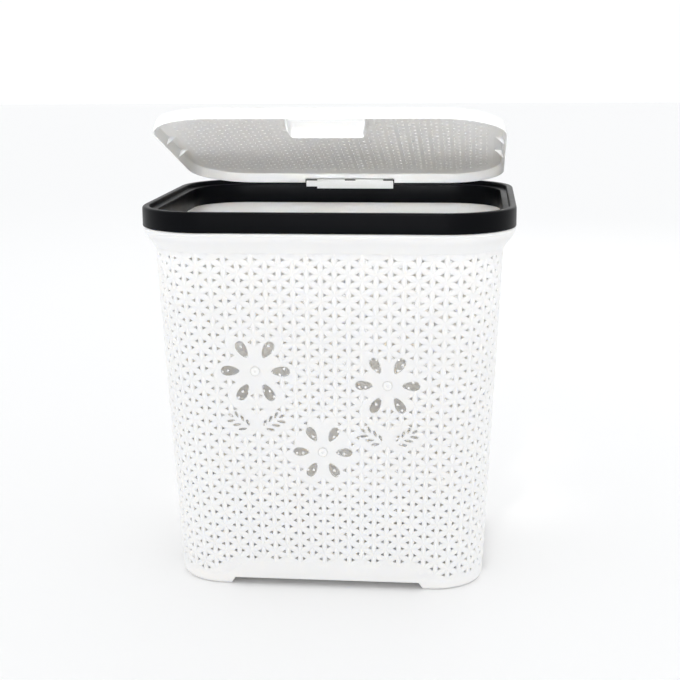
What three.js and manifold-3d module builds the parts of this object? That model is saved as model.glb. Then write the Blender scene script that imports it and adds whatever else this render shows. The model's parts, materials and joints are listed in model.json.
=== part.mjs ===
// Laundry hamper with a hinged lid: a tapered white basket moulding with a flower pattern cut
// through its front, a black ring pressed over its top lip, and a white lid on a rod hinge.
// Units are millimetres. +Z is up, -Y is the front, and the origin is on the floor under the
// middle of the ring. The lid stands 18 degrees open.
import * as THREE from "three";
import { mergeVertices } from "three/addons/utils/BufferGeometryUtils.js";
import Module from "manifold-3d";

const wasm = await Module();
wasm.setup();

// ---------------------------------------------------------------- driving dimensions

const RING = {
  halfWidth: 225,
  halfDepth: 188,
  radius: 85,
  top: 465,
  outerDrop: 24,
  innerDrop: 31.5,
  bead: 8.5, // width of the raised outer bead
  ledge: 8, // width of the lower ledge that the lid rests on
  ledgeDrop: 6,
  skin: 2.4,
};

const WALL = {
  skin: 2.2,
  foot: { halfWidth: 188, halfDepth: 157, radius: 60 }, // at the floor
  neck: { halfWidth: 209, halfDepth: 173.5, radius: 69 }, // where the collar starts
  neckHeight: 420,
};

const COLLAR = {
  lip: 3, // the lip stands this far inside the ring's outer face
  lipTop: 3, // and ends this far below the ring's top
  ridge: 1.8, // the ridge under the ring, from the ring's outer face
  ridgeLow: 436.5,
  ridgeHigh: 440.4,
  shoulder: 0.2, // rise of the step from the ridge to the lip
  flareSteps: 5,
};

const FLOOR = { under: 12, top: 14.6, skirt: 8.6 };

const FOOT = { depth: 22, inset: 0.5, reachLow: 9, reachHigh: 18, rise: 12.8 };

const FLOWERS = [
  { x: -81.3, z: 273.4, inner: 19, outer: 41.5, width: 12.6 },
  { x: 75.9, z: 258.2, inner: 17.5, outer: 38.4, width: 11.6 },
  { x: -2, z: 174, inner: 16, outer: 35.5, width: 10.8 },
];
const PETALS = 6;
const PETAL = {
  steps: 20,
  fullness: 0.78, // under 1, a petal narrows towards the middle of its flower
  swell: 0.81, // what the fullness makes of the greatest width, taken out again
};
const CUTTER_DEPTH = 60; // enough to pass through the front wall
const BOSS = { radius: 5.3, proud: 1.3 };

const HINGE = {
  y: 179,
  z: 469.7,
  restAngle: THREE.MathUtils.degToRad(18),
  barrel: 4.2,
  pin: 1.5,
  bore: 1.56, // to the flats of the bore
  halfLength: 61,
  endKnuckle: 14,
  middleKnuckle: 14,
  gap: 0.5,
  heel: 3.2, // reach of the stops behind the axis
  heelFront: 0.5,
  webOverlap: 1.5, // of the knuckles' webs into the lid
  pinRecess: 0.5, // the pin's ends stand this far inside the outer knuckles
};

// The lid is described shut, from the hinge axis: s runs forward from the axis, z runs up.
const LID = {
  halfWidth: 210.4,
  halfDepth: 174,
  radius: 79,
  rearEdge: 6.7, // from the hinge axis to the rear edge of the top face
  top: 4.3,
  panel: 2.4,
  skirtLow: -10.4,
  skirtSkin: 2,
  flare: 2.9,
  edgeRadius: 3.5,
};

const GRIP = {
  rear: 289, // distances forward from the hinge axis
  front: 327,
  halfWidth: 47,
  corner: 6,
  scoopLow: 18,
  scoopLowHalfWidth: 45.5,
  scoopFront: 312,
  skin: 1.8,
};

const GUSSET = { places: [152, 221, 288], thick: 2, reach: 11.5, drop: 11.5 };

const NOTCH = { side: 1.5, depth: 6, over: 1 }; // clearance of the lid's skirt round the bracket

const BRACKET = {
  plateLow: 453.5,
  plateTop: 464.5,
  plateSkin: 2,
  shelfSkin: 1.8,
  postSkin: 2.4,
  notch: { width: 15.5, high: 456.2 },
  legs: [-34, 34],
  leg: { halfWidth: 6, skin: 2, low: 449, setBack: 1.2, overlap: 1 },
  shelfStep: 0.2, // the shelf and posts start this far inside the plate and shelf
  fit: 0.35,
};

// The corners of the ring's section: [distance from the corner, distance down] pairs.
const RING_CORNERS = {
  outer: { side: 3.6, shoulder: [0.9, 1.3], top: 2.8 },
  bead: { top: 1.8, shoulder: [0.5, 0.6], side: 2 },
  ledge: 0.8,
};

const PAST = 1; // how far a cutter runs past the surface it cuts

const CORNER_STEPS = 9;
const ROUND_STEPS = 32;
const EDGE_STEPS = 3; // along the lid's rounded edge
const SLOT_CORNER_STEPS = 4;

// ---------------------------------------------------------------- materials

const plastic = (color, roughness) =>
  new THREE.MeshStandardMaterial({ color, roughness, metalness: 0 });

const whitePlastic = () => plastic(0xf3f3f0, 0.42);
const blackPlastic = () => plastic(0x14181c, 0.32);
const steel = () =>
  new THREE.MeshStandardMaterial({ color: 0xc4c7ca, roughness: 0.3, metalness: 1 });

// ---------------------------------------------------------------- geometry helpers

// A rounded rectangle at height z, anticlockwise from above. yMiddle shifts it along Y.
function outline({ halfWidth, halfDepth, radius }, z, yMiddle = 0) {
  const points = [];
  for (let corner = 0; corner < 4; corner++) {
    const sideX = corner === 0 || corner === 3 ? 1 : -1;
    const sideY = corner < 2 ? 1 : -1;
    for (let i = 0; i <= CORNER_STEPS; i++) {
      const turn = ((corner + i / CORNER_STEPS) * Math.PI) / 2;
      const x = sideX * (halfWidth - radius) + radius * Math.cos(turn);
      const y = sideY * (halfDepth - radius) + radius * Math.sin(turn);
      points.push(new THREE.Vector3(x, y + yMiddle, z));
    }
  }
  return points;
}

// The same rounded rectangle moved inwards all round by a distance.
const inset = ({ halfWidth, halfDepth, radius }, by) => ({
  halfWidth: halfWidth - by,
  halfDepth: halfDepth - by,
  radius: radius - by,
});

// A size between two rounded rectangles.
const between = (a, b, share) => ({
  halfWidth: THREE.MathUtils.lerp(a.halfWidth, b.halfWidth, share),
  halfDepth: THREE.MathUtils.lerp(a.halfDepth, b.halfDepth, share),
  radius: THREE.MathUtils.lerp(a.radius, b.radius, share),
});

function meshGeometry(positions, index) {
  const geometry = new THREE.BufferGeometry();
  geometry.setAttribute("position", new THREE.Float32BufferAttribute(positions, 3));
  geometry.setIndex(index);
  return geometry;
}

// Joins closed outlines of equal length, listed from the underside's middle out, up and in.
// first and last are the middle points that close the two ends, or null for a closed ring.
function loft(rings, first, last) {
  const count = rings[0].length;
  const positions = rings.flat().flatMap((p) => [p.x, p.y, p.z]);
  const index = [];
  const joins = first ? rings.length - 1 : rings.length;
  for (let r = 0; r < joins; r++) {
    const low = r * count;
    const high = ((r + 1) % rings.length) * count;
    for (let i = 0; i < count; i++) {
      const next = (i + 1) % count;
      index.push(low + i, low + next, high + next);
      index.push(low + i, high + next, high + i);
    }
  }
  if (first) {
    const firstAt = positions.length / 3;
    positions.push(first.x, first.y, first.z, last.x, last.y, last.z);
    const top = (rings.length - 1) * count;
    for (let i = 0; i < count; i++) {
      const next = (i + 1) % count;
      index.push(firstAt, next, i);
      index.push(firstAt + 1, top + i, top + next);
    }
  }
  return meshGeometry(positions, index);
}

// A prism between two outlines with the same number of points, which need not be convex.
function prism(low, high) {
  const count = low.length;
  const positions = [...low, ...high].flatMap((p) => [p.x, p.y, p.z]);
  const index = [];
  const flat = low.map((p) => new THREE.Vector2(p.x, p.y));
  for (const [a, b, c] of THREE.ShapeUtils.triangulateShape(flat, [])) {
    index.push(a, c, b, count + a, count + b, count + c);
  }
  for (let i = 0; i < count; i++) {
    const next = (i + 1) % count;
    index.push(i, next, count + next, i, count + next, count + i);
  }
  return meshGeometry(positions, index);
}

function toSolid(geometry) {
  const bare = geometry.clone();
  bare.deleteAttribute("normal");
  bare.deleteAttribute("uv");
  const merged = mergeVertices(bare, 1e-4);
  return new wasm.Manifold(
    new wasm.Mesh({
      numProp: 3,
      vertProperties: new Float32Array(merged.attributes.position.array),
      triVerts: new Uint32Array(merged.index.array),
    }),
  );
}

function toGeometry(solid) {
  const mesh = solid.getMesh();
  return meshGeometry(mesh.vertProperties, Array.from(mesh.triVerts));
}

const join = (start, pieces) =>
  pieces.reduce((whole, piece) => whole.add(toSolid(piece)), start);
const cut = (start, pieces) =>
  pieces.reduce((whole, piece) => whole.subtract(toSolid(piece)), start);

function box([x0, y0, z0], [x1, y1, z1]) {
  const geometry = new THREE.BoxGeometry(x1 - x0, y1 - y0, z1 - z0);
  return geometry.translate((x0 + x1) / 2, (y0 + y1) / 2, (z0 + z1) / 2);
}

// A round bar along X on the hinge axis.
function barAlongX(radius, x0, x1) {
  const bar = new THREE.CylinderGeometry(radius, radius, x1 - x0, ROUND_STEPS);
  return bar.rotateZ(Math.PI / 2).translate((x0 + x1) / 2, 0, 0);
}

function namedMesh(name, geometry, material) {
  geometry.computeVertexNormals();
  const mesh = new THREE.Mesh(geometry, material);
  mesh.name = name;
  return mesh;
}

// ---------------------------------------------------------------- basket body

const wallAt = (z) => between(WALL.foot, WALL.neck, z / WALL.neckHeight);

// The wall's profile eases outwards from the neck to the ridge under the ring.
function flare(skinInset) {
  const collar = inset(RING, COLLAR.ridge);
  const rings = [];
  for (let i = 1; i < COLLAR.flareSteps; i++) {
    const share = i / COLLAR.flareSteps;
    const eased = THREE.MathUtils.smoothstep(share, 0, 1);
    const z = THREE.MathUtils.lerp(WALL.neckHeight, COLLAR.ridgeLow, share);
    rings.push(outline(inset(between(WALL.neck, collar, eased), skinInset), z));
  }
  return rings;
}

function basketShell() {
  const { skin } = WALL;
  const ridge = inset(RING, COLLAR.ridge);
  const lip = inset(RING, COLLAR.lip);
  const lipTop = RING.top - COLLAR.lipTop;
  const innerLip = inset(lip, skin);
  const rings = [
    outline(inset(wallAt(FLOOR.under), skin), FLOOR.under),
    outline(inset(wallAt(FLOOR.skirt), skin), FLOOR.skirt),
    outline(wallAt(FLOOR.skirt), FLOOR.skirt),
    outline(WALL.neck, WALL.neckHeight),
    ...flare(0),
    outline(ridge, COLLAR.ridgeLow),
    outline(ridge, COLLAR.ridgeHigh),
    outline(lip, COLLAR.ridgeHigh + COLLAR.shoulder),
    outline(lip, lipTop),
    outline(innerLip, lipTop),
    outline(innerLip, COLLAR.ridgeLow + skin / 2),
    ...flare(skin).reverse(),
    outline(inset(WALL.neck, skin), WALL.neckHeight),
    outline(inset(wallAt(FLOOR.top), skin), FLOOR.top),
  ];
  const under = new THREE.Vector3(0, 0, FLOOR.under);
  const top = new THREE.Vector3(0, 0, FLOOR.top);
  return loft(rings, under, top);
}

// One corner foot: a bent bar that follows the wall round its corner, with sloping ends.
function cornerFoot(sideX, sideY) {
  const bent = (size, reach, z) => {
    const { halfWidth, halfDepth, radius } = inset(size, FOOT.inset);
    const middleX = halfWidth - radius;
    const middleY = halfDepth - radius;
    const path = (r) => {
      const run = [new THREE.Vector3(middleX + r, middleY - reach, z)];
      for (let i = 0; i <= CORNER_STEPS; i++) {
        const turn = ((i / CORNER_STEPS) * Math.PI) / 2;
        run.push(new THREE.Vector3(middleX + r * Math.cos(turn), middleY + r * Math.sin(turn), z));
      }
      run.push(new THREE.Vector3(middleX - reach, middleY + r, z));
      return run;
    };
    return [...path(radius), ...path(radius - FOOT.depth).reverse()];
  };
  const mirror = (points) => {
    const moved = points.map((p) => new THREE.Vector3(p.x * sideX, p.y * sideY, p.z));
    return sideX * sideY > 0 ? moved : moved.reverse();
  };
  const low = bent(wallAt(0), FOOT.reachLow, 0);
  const high = bent(wallAt(FOOT.rise), FOOT.reachHigh, FOOT.rise);
  return prism(mirror(low), mirror(high));
}

// The egg shape of one petal in its flower's plane, narrow end towards the middle.
function petalShape({ inner, outer, width }) {
  const points = [];
  for (let i = 0; i < PETAL.steps; i++) {
    const turn = ((i + 0.5) * 2 * Math.PI) / PETAL.steps; // no point on the petal's own axis
    const taper = PETAL.fullness + (1 - PETAL.fullness) * Math.cos(turn);
    const along = (inner + outer) / 2 + ((outer - inner) / 2) * Math.cos(turn);
    points.push(new THREE.Vector2(along, ((width / 2) * taper * Math.sin(turn)) / PETAL.swell));
  }
  return new THREE.Shape(points);
}

// Cutters for a flower's petals, pointing through the front wall.
function petalCutters(flower) {
  const cutters = [];
  const middleY = -WALL.foot.halfDepth + CUTTER_DEPTH / 2;
  for (let i = 0; i < PETALS; i++) {
    const extrusion = { depth: CUTTER_DEPTH, bevelEnabled: false };
    const petal = new THREE.ExtrudeGeometry(petalShape(flower), extrusion);
    petal.rotateZ((i * 2 * Math.PI) / PETALS).rotateX(Math.PI / 2);
    cutters.push(petal.translate(flower.x, middleY, flower.z));
  }
  return cutters;
}

// The round boss in the middle of a flower, sunk into the wall so that they are one moulding.
function flowerBoss({ x, z }) {
  const wallY = -wallAt(z).halfDepth;
  const length = BOSS.proud + WALL.skin;
  const boss = new THREE.CylinderGeometry(BOSS.radius, BOSS.radius, length, ROUND_STEPS / 2);
  return boss.translate(x, wallY - BOSS.proud + length / 2, z);
}

function basketBody() {
  const feet = [-1, 1].flatMap((x) => [-1, 1].map((y) => cornerFoot(x, y)));
  const whole = join(toSolid(basketShell()), feet);
  const opened = cut(whole, FLOWERS.flatMap(petalCutters));
  return toGeometry(join(opened, FLOWERS.map(flowerBoss)));
}

// ---------------------------------------------------------------- black ring

// The ring's section: an upside-down channel with a raised bead outside and a ledge inside.
function ringShell() {
  const { top, bead, ledge, ledgeDrop, skin } = RING;
  const ledgeTop = top - ledgeDrop;
  const width = bead + ledge;
  const outerLow = top - RING.outerDrop;
  const innerLow = top - RING.innerDrop;
  const { outer, bead: inner } = RING_CORNERS;
  const section = [
    [0, outerLow],
    [0, top - outer.side],
    [outer.shoulder[0], top - outer.shoulder[1]],
    [outer.top, top],
    [bead - inner.top, top],
    [bead - inner.shoulder[0], top - inner.shoulder[1]],
    [bead, top - inner.side],
    [bead, ledgeTop],
    [width - RING_CORNERS.ledge, ledgeTop],
    [width, ledgeTop - RING_CORNERS.ledge],
    [width, innerLow],
    [width - skin, innerLow],
    [width - skin, ledgeTop - skin],
    [bead - skin, ledgeTop - skin],
    [bead - skin, top - skin],
    [skin, top - skin],
    [skin, outerLow],
  ];
  return loft(
    section.map(([by, z]) => outline(inset(RING, by), z)),
    null,
    null,
  );
}

// Slots in the rear ledge for the hinge bracket's legs.
function legSlots() {
  const { leg, legs, fit } = BRACKET;
  const [y0, y1] = legSpanY();
  const ledgeTop = RING.top - RING.ledgeDrop;
  return legs.map((x) =>
    box(
      [x - leg.halfWidth - fit, y0 - fit, ledgeTop - RING.skin - PAST],
      [x + leg.halfWidth + fit, y1 + fit, ledgeTop + PAST],
    ),
  );
}

const rimCollar = () => toGeometry(cut(toSolid(ringShell()), legSlots()));

// ---------------------------------------------------------------- hinge

// Spans of the knuckles along X: three on the lid, two on the bracket between them.
function knuckleSpans() {
  const { halfLength, endKnuckle, middleKnuckle, gap } = HINGE;
  const inner = halfLength - endKnuckle;
  const middle = middleKnuckle / 2;
  return {
    lid: [
      [-halfLength, -inner],
      [-middle, middle],
      [inner, halfLength],
    ],
    bracket: [
      [-inner + gap, -middle - gap],
      [middle + gap, inner - gap],
    ],
  };
}

function boreCutter() {
  const reach = HINGE.halfLength + PAST;
  return barAlongX(HINGE.bore / Math.cos(Math.PI / ROUND_STEPS), -reach, reach);
}

// The rear posts stand on the ledge just inside the bead.
const postBack = () => RING.halfDepth - RING.bead - BRACKET.fit;

function legSpanY() {
  const back = postBack() - BRACKET.leg.setBack;
  return [back - BRACKET.leg.skin, back];
}

function hingeBracket() {
  const { plateLow, plateTop, plateSkin, shelfSkin, shelfStep, postSkin, notch, fit } = BRACKET;
  const { legs, leg } = BRACKET;
  const reach = HINGE.halfLength;
  const plateBack = RING.halfDepth - RING.bead - RING.ledge - fit;
  const plateFront = plateBack - plateSkin;
  const shelfLow = RING.top - RING.ledgeDrop + fit;
  const [legY0, legY1] = legSpanY();
  const plate = box([-reach, plateFront, plateLow], [reach, plateBack, plateTop]);
  const shelf = box(
    [-reach, plateFront + shelfStep, shelfLow],
    [reach, postBack(), shelfLow + shelfSkin],
  );
  const posts = knuckleSpans().bracket.map(([x0, x1]) =>
    box([x0, postBack() - postSkin, shelfLow + shelfStep], [x1, postBack(), HINGE.z]),
  );
  const barrels = knuckleSpans().bracket.map(([x0, x1]) =>
    barAlongX(HINGE.barrel, x0, x1).translate(0, HINGE.y, HINGE.z),
  );
  const snapLegs = legs.map((x) =>
    box([x - leg.halfWidth, legY0, leg.low], [x + leg.halfWidth, legY1, shelfLow + leg.overlap]),
  );
  const corner = box(
    [-reach - PAST, plateFront - PAST, plateLow - PAST],
    [-reach + notch.width, plateBack + PAST, notch.high],
  );
  const whole = join(toSolid(plate), [shelf, ...posts, ...barrels, ...snapLegs]);
  return toGeometry(cut(whole, [corner, boreCutter().translate(0, HINGE.y, HINGE.z)]));
}

function hingePin() {
  const reach = HINGE.halfLength - HINGE.pinRecess;
  return barAlongX(HINGE.pin, -reach, reach).translate(0, HINGE.y, HINGE.z);
}

// ---------------------------------------------------------------- lid, shut, about the hinge axis

function lidShell() {
  const { halfWidth, halfDepth, radius, top, panel, skirtLow, skirtSkin, flare, edgeRadius } = LID;
  const size = { halfWidth, halfDepth, radius };
  const middleY = -LID.rearEdge - halfDepth;
  const at = (by, z) => outline(inset(size, by), z, middleY);
  const rings = [
    at(skirtSkin, top - panel),
    at(skirtSkin - flare, skirtLow),
    at(-flare, skirtLow),
  ];
  for (let i = 0; i <= EDGE_STEPS; i++) {
    const turn = ((i / EDGE_STEPS) * Math.PI) / 2;
    const by = edgeRadius * (1 - Math.cos(turn));
    rings.push(at(by, top - edgeRadius * (1 - Math.sin(turn))));
  }
  const under = new THREE.Vector3(0, middleY, top - panel);
  const over = new THREE.Vector3(0, middleY, top);
  return loft(rings, under, over);
}

function roundedSlot(halfWidth, y0, y1, radius) {
  const shape = new THREE.Shape();
  shape.moveTo(-halfWidth + radius, y0);
  shape.lineTo(halfWidth - radius, y0);
  shape.absarc(halfWidth - radius, y0 + radius, radius, -Math.PI / 2, 0, false);
  shape.lineTo(halfWidth, y1 - radius);
  shape.absarc(halfWidth - radius, y1 - radius, radius, 0, Math.PI / 2, false);
  shape.lineTo(-halfWidth + radius, y1);
  shape.absarc(-halfWidth + radius, y1 - radius, radius, Math.PI / 2, Math.PI, false);
  shape.lineTo(-halfWidth, y0 + radius);
  shape.absarc(-halfWidth + radius, y0 + radius, radius, Math.PI, (3 * Math.PI) / 2, false);
  return shape;
}

function gripSlot() {
  const shape = roundedSlot(GRIP.halfWidth, -GRIP.front, -GRIP.rear, GRIP.corner);
  const depth = LID.panel + 2 * PAST;
  const extrusion = { depth, bevelEnabled: false, curveSegments: SLOT_CORNER_STEPS };
  return new THREE.ExtrudeGeometry(shape, extrusion).translate(0, 0, LID.top + PAST - depth);
}

// The scoop behind the slot: a rear wall and two cheeks that narrow downwards, open in front.
function gripScoop() {
  const { rear, front, halfWidth, scoopLow, scoopLowHalfWidth, scoopFront, skin } = GRIP;
  const high = LID.top - LID.panel / 2;
  const low = LID.top - scoopLow - LID.panel;
  const rectangle = (half, y0, y1, z) => [
    new THREE.Vector3(-half, y0, z),
    new THREE.Vector3(half, y0, z),
    new THREE.Vector3(half, y1, z),
    new THREE.Vector3(-half, y1, z),
  ];
  const outer = prism(
    rectangle(scoopLowHalfWidth, -scoopFront, -rear + skin, low),
    rectangle(halfWidth + skin, -front, -rear + skin, high),
  );
  const ahead = -front - CUTTER_DEPTH;
  const inner = prism(
    rectangle(scoopLowHalfWidth - skin, ahead, -rear, low - PAST),
    rectangle(halfWidth, ahead, -rear, high + PAST),
  );
  return toGeometry(cut(toSolid(outer), [inner]));
}

// A triangular web between the skirt and the underside of the panel.
function gusset(side, s) {
  const { thick, reach, drop } = GUSSET;
  const edge = LID.halfWidth - LID.skirtSkin / 2;
  const high = LID.top - LID.panel / 2;
  const shape = new THREE.Shape();
  shape.moveTo(edge, high);
  shape.lineTo(edge - reach, high);
  shape.lineTo(edge, high - drop);
  shape.closePath();
  const web = new THREE.ExtrudeGeometry(shape, { depth: thick, bevelEnabled: false });
  web.rotateX(Math.PI / 2).translate(0, -s + thick / 2, 0);
  return side > 0 ? web : web.rotateZ(Math.PI).translate(0, -2 * s, 0);
}

// The lid's knuckles, each with a web to the rear edge and a heel that stops the lid fully open.
function lidKnuckles() {
  const { barrel, heel, heelFront, webOverlap } = HINGE;
  return knuckleSpans().lid.flatMap(([x0, x1]) => [
    barAlongX(barrel, x0, x1),
    box([x0, -LID.rearEdge - webOverlap, 0], [x1, 0, LID.top]),
    box([x0, -heelFront, 0], [x1, heel, LID.top]),
  ]);
}

// The skirt is cut away over the bracket, below the knuckles.
function hingeNotch() {
  const reach = HINGE.halfLength + NOTCH.side;
  const high = BRACKET.plateTop + NOTCH.over - HINGE.z;
  return box([-reach, -LID.rearEdge - NOTCH.depth, LID.skirtLow - PAST], [reach, 0, high]);
}

function lidPanel() {
  const opened = cut(toSolid(lidShell()), [gripSlot(), hingeNotch()]);
  const gussets = GUSSET.places.flatMap((s) => [gusset(-1, s), gusset(1, s)]);
  const whole = join(opened, [gripScoop(), ...gussets, ...lidKnuckles()]);
  return toGeometry(cut(whole, [boreCutter()]));
}

// ---------------------------------------------------------------- assembly

const hamper = new THREE.Group();

hamper.add(namedMesh("basket_body", basketBody(), whitePlastic()));
hamper.add(namedMesh("rim_collar", rimCollar(), blackPlastic()));
hamper.add(namedMesh("hinge_bracket", hingeBracket(), whitePlastic()));
hamper.add(namedMesh("hinge_pin", hingePin(), steel()));

const lidGroup = new THREE.Group();
lidGroup.position.set(0, HINGE.y, HINGE.z);
lidGroup.rotation.x = -HINGE.restAngle;
lidGroup.add(namedMesh("lid_panel", lidPanel(), whitePlastic()));
hamper.add(lidGroup);

export default hamper;
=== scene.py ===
import json
import math

import bmesh
import bpy
import numpy as np
from mathutils import Matrix, Vector


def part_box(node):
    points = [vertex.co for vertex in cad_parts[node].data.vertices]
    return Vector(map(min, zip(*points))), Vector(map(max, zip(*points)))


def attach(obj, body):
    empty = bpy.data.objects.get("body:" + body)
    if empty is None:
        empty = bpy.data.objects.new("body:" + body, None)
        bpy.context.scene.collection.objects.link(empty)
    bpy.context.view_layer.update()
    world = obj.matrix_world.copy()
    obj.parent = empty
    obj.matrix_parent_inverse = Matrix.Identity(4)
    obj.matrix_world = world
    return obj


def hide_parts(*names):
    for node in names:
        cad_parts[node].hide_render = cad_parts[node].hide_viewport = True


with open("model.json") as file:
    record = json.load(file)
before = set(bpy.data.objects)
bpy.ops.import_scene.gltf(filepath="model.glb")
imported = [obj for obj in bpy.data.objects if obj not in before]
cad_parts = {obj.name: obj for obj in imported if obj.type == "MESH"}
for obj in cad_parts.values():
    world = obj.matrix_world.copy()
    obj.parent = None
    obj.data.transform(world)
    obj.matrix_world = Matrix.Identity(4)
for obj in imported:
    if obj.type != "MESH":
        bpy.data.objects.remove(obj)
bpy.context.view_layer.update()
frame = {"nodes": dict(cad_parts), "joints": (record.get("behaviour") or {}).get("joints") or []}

MM = 0.001
RIM_BOX = [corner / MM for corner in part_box("rim_collar")]

# ---------------------------------------------------------------- driving dimensions

RING_SIZE = (RIM_BOX[1].x, RIM_BOX[1].y, 85)  # half width, half depth and corner radius
RING_TOP = RIM_BOX[1].z
RING_OUTER_DROP = 24
RING_INNER_DROP = 31.5
RING_BEAD = 8.5
RING_LEDGE = 8
RING_LEDGE_DROP = 6
RING_SKIN = 2.4

WALL_SKIN = 2.2
FOOT_SIZE = (188, 157, 60)  # at the floor
NECK_SIZE = (209, 173.5, 69)  # where the collar starts
NECK_HEIGHT = 420
FLARE_LOW = 412
RIDGE_INSET = 1.8  # from the ring's outer face
RIDGE_LOW = 436.5
RIDGE_HIGH = 440.4
LIP_INSET = 3
LIP_TOP = RING_TOP - 3
FLOOR_UNDER = 12
FLOOR_TOP = 14.6
SKIRT_EDGE = 8.6
SKIRT_TOP = 30.5
CORNER_SKIRT_TOP = 14.5
CORNER_SKIRT_REACH = (52, 26)  # half its length round a corner, and the length of its rise
SKIRT_FADE = 5  # the height over which the weave sinks into the skirt
COLLAR_PROUD = 0.85
FOOT_DEPTH = 22
FOOT_RISE = 12.8
FOOT_REACH = (9, 18)  # past the corner's arc, at the floor and at the top of the foot

PAIRS_ROUND = 43  # pairs of holes in each row round the wall
COLUMNS = 2 * PAIRS_ROUND  # upright strands, half a pair apart
COLUMN_STEP = 16  # their usual distance apart
PATTERN_SHIFT = -0.12  # the first strand, from the middle of the front, in columns
ROW_STEP = 8.27
TOP_ROW_HEIGHT = 408.2
FULL_ROWS = 46
CORNER_ROWS = {46: 62, 47: 50}  # how far from a corner's middle the lowest rows go
LAST_ROW = 48
UPRIGHT_HALF = 3.1  # half widths of the strands
SLANTED_HALF = 3.75
STRAND_FRACTIONS = (0, 0.22, 0.5, 0.78)  # where a strand has points between two crossings
SLANTED_CROWN = (0.5, 0.75, 1.15, 0.75)  # how proud of the wall a strand's crown is there
UPRIGHT_CROWN = (0.5, 1.1, 1.6, 1.1)
SLANTED_FLANK = (0.2, 0.4, 0.85, 0.4)  # and its flank, part of the way down to a hole
UPRIGHT_FLANK = (0.2, 0.8, 1.25, 0.8)
FLANK_SHARE = 0.55  # how far the flank's points are from the crown to the hole
HOLE_EDGE = 0.1  # how proud the hole's edge is
HOLE_ROUNDING = 0.2  # how far a hole's corners are drawn in towards its middle
BLIND_MIDDLE = 0.35  # how proud the middle of a cell without a hole is
CELL_MIDDLE = 0.3  # from its strand, in columns
FLUSH = 0.5  # how far smooth stretches stand proud of the wall's base surface
ROUND_COUNT = 258  # points round the smooth bands, the ring and the lid
CREASE_ANGLE = 35  # degrees, above which an edge is shaded as a sharp one

FLOWERS = (
    {"x": -81.3, "z": 273.4, "inner": 19, "outer": 41.5, "width": 12.6},
    {"x": 75.9, "z": 258.2, "inner": 17.5, "outer": 38.4, "width": 11.6},
    {"x": -2, "z": 174, "inner": 16, "outer": 35.5, "width": 10.8},
)
PETALS = 6
PETAL_FULLNESS = 0.78  # under 1, a petal narrows towards the middle
PETAL_SWELL = 0.81  # the widest part of such an egg, as a share of its stated width
FLOWER_HEART = 29  # no holes nearer to a flower's middle
PETAL_CLEARANCE = 5.4  # no holes nearer to a petal
# Where the smooth moulding ends, and the distance over which the weave rises beyond it.
HEART_BORDER = (26, 6)
PETAL_BORDER = (1.5, 4.5)
SPRIG_BORDER = (0.85, 0.3)  # as shares of the sprig's reach
BOSS_RADIUS = 5.3
BOSS_GROOVE = 1.13  # the outer radius of the groove round it, as a share of its own
GROOVE_CUT = (4, 0.7)  # how far the groove's cutter reaches out of the wall and into it
BOSS_PROFILE = (  # share of the radius, and how far proud of the wall
    (1, -1.6), (1, 0.6), (0.92, 1.05), (0.75, 1.4), (0.4, 1.6), (0.27, 1.5), (0.22, 0.7)
)
SPRIGS = ((-101.5, 210, 1), (-61.5, 210, -1), (57.7, 194, 1), (97.2, 194, -1))  # x, z and hand
SPRIG_REACH = (17.5, 14.5)
SPRIG_STEM = ((-4, 2), (2.8, -2.8), (9.5, -8))  # where pairs of leaflets grow
FLAT_LEAFLET, UPRIGHT_LEAFLET, END_LEAFLET = (188, 11.5), (112, 9.5), (150, 8.5)  # degrees, length
UPRIGHT_LEAFLET_STEP = (2.2, 2.4)
END_LEAFLET_PLACE = (-6.5, 5.5)
LEAFLET_WIDTH = 3.5
WALL_CUT = (6, 12)  # how far the pattern's cutters reach outside the wall and inside it

HINGE_Y, HINGE_Z = (value / MM for value in frame["joints"][0]["pos_m"][1:])
REST_ANGLE = math.radians(18)  # the lid stands this far open
KNUCKLE_RADIUS = 4.2
BORE_RADIUS = 1.58
HINGE_HALF = 61
LID_KNUCKLES = ((-61, -47), (-7, 7), (47, 61))
BRACKET_KNUCKLES = ((-46.5, -7.5), (7.5, 46.5))

# The lid is described shut, from the hinge axis: y runs back and z up.
LID_SIZE = (210.4, 174, 79)
LID_REAR = 6.7
LID_MIDDLE = -LID_REAR - LID_SIZE[1]
LID_TOP = 4.3
LID_UNDER = 1.9
LID_SKIRT_LOW = -10.4
LID_SKIRT_SKIN = 2
LID_FLARE = 2.9
LID_WEAVE = (198, 157, 64)  # the woven field's size
LID_COLUMN_STEP, LID_ROW_STEP = 13.3, 8.27
LID_STRANDS, LID_ROWS = 17, 24  # on each side of the middle
LID_HOLE_BORDER = 2.5  # no holes nearer to the woven field's edge
LID_FADE = 3  # the distance over which the weave rises inside that edge
LID_BORDER_WIDTH = 12
LID_TRIM = 7  # the weave is cut off this far inside the border's edge
LID_CUT = 20  # how far the outline that trims it reaches above and below
GRIP_BACK, GRIP_FRONT, GRIP_HALF, GRIP_CORNER = -289, -327, 47, 6
SCOOP_LOW, SCOOP_LOW_HALF, SCOOP_LOW_FRONT, SCOOP_SKIN = -16.1, 45.5, -312, 1.8
GUSSET_PLACES = (-152, -221, -288)
GUSSET_REACH = 11.5
GUSSET_HALF = 1
KNUCKLE_HEEL = 3.2  # how far behind the axis the heels reach
LID_GRIP_BORDER = 7
LID_STEP = 0.06  # the woven field lies this far inside the border's faces

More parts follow.
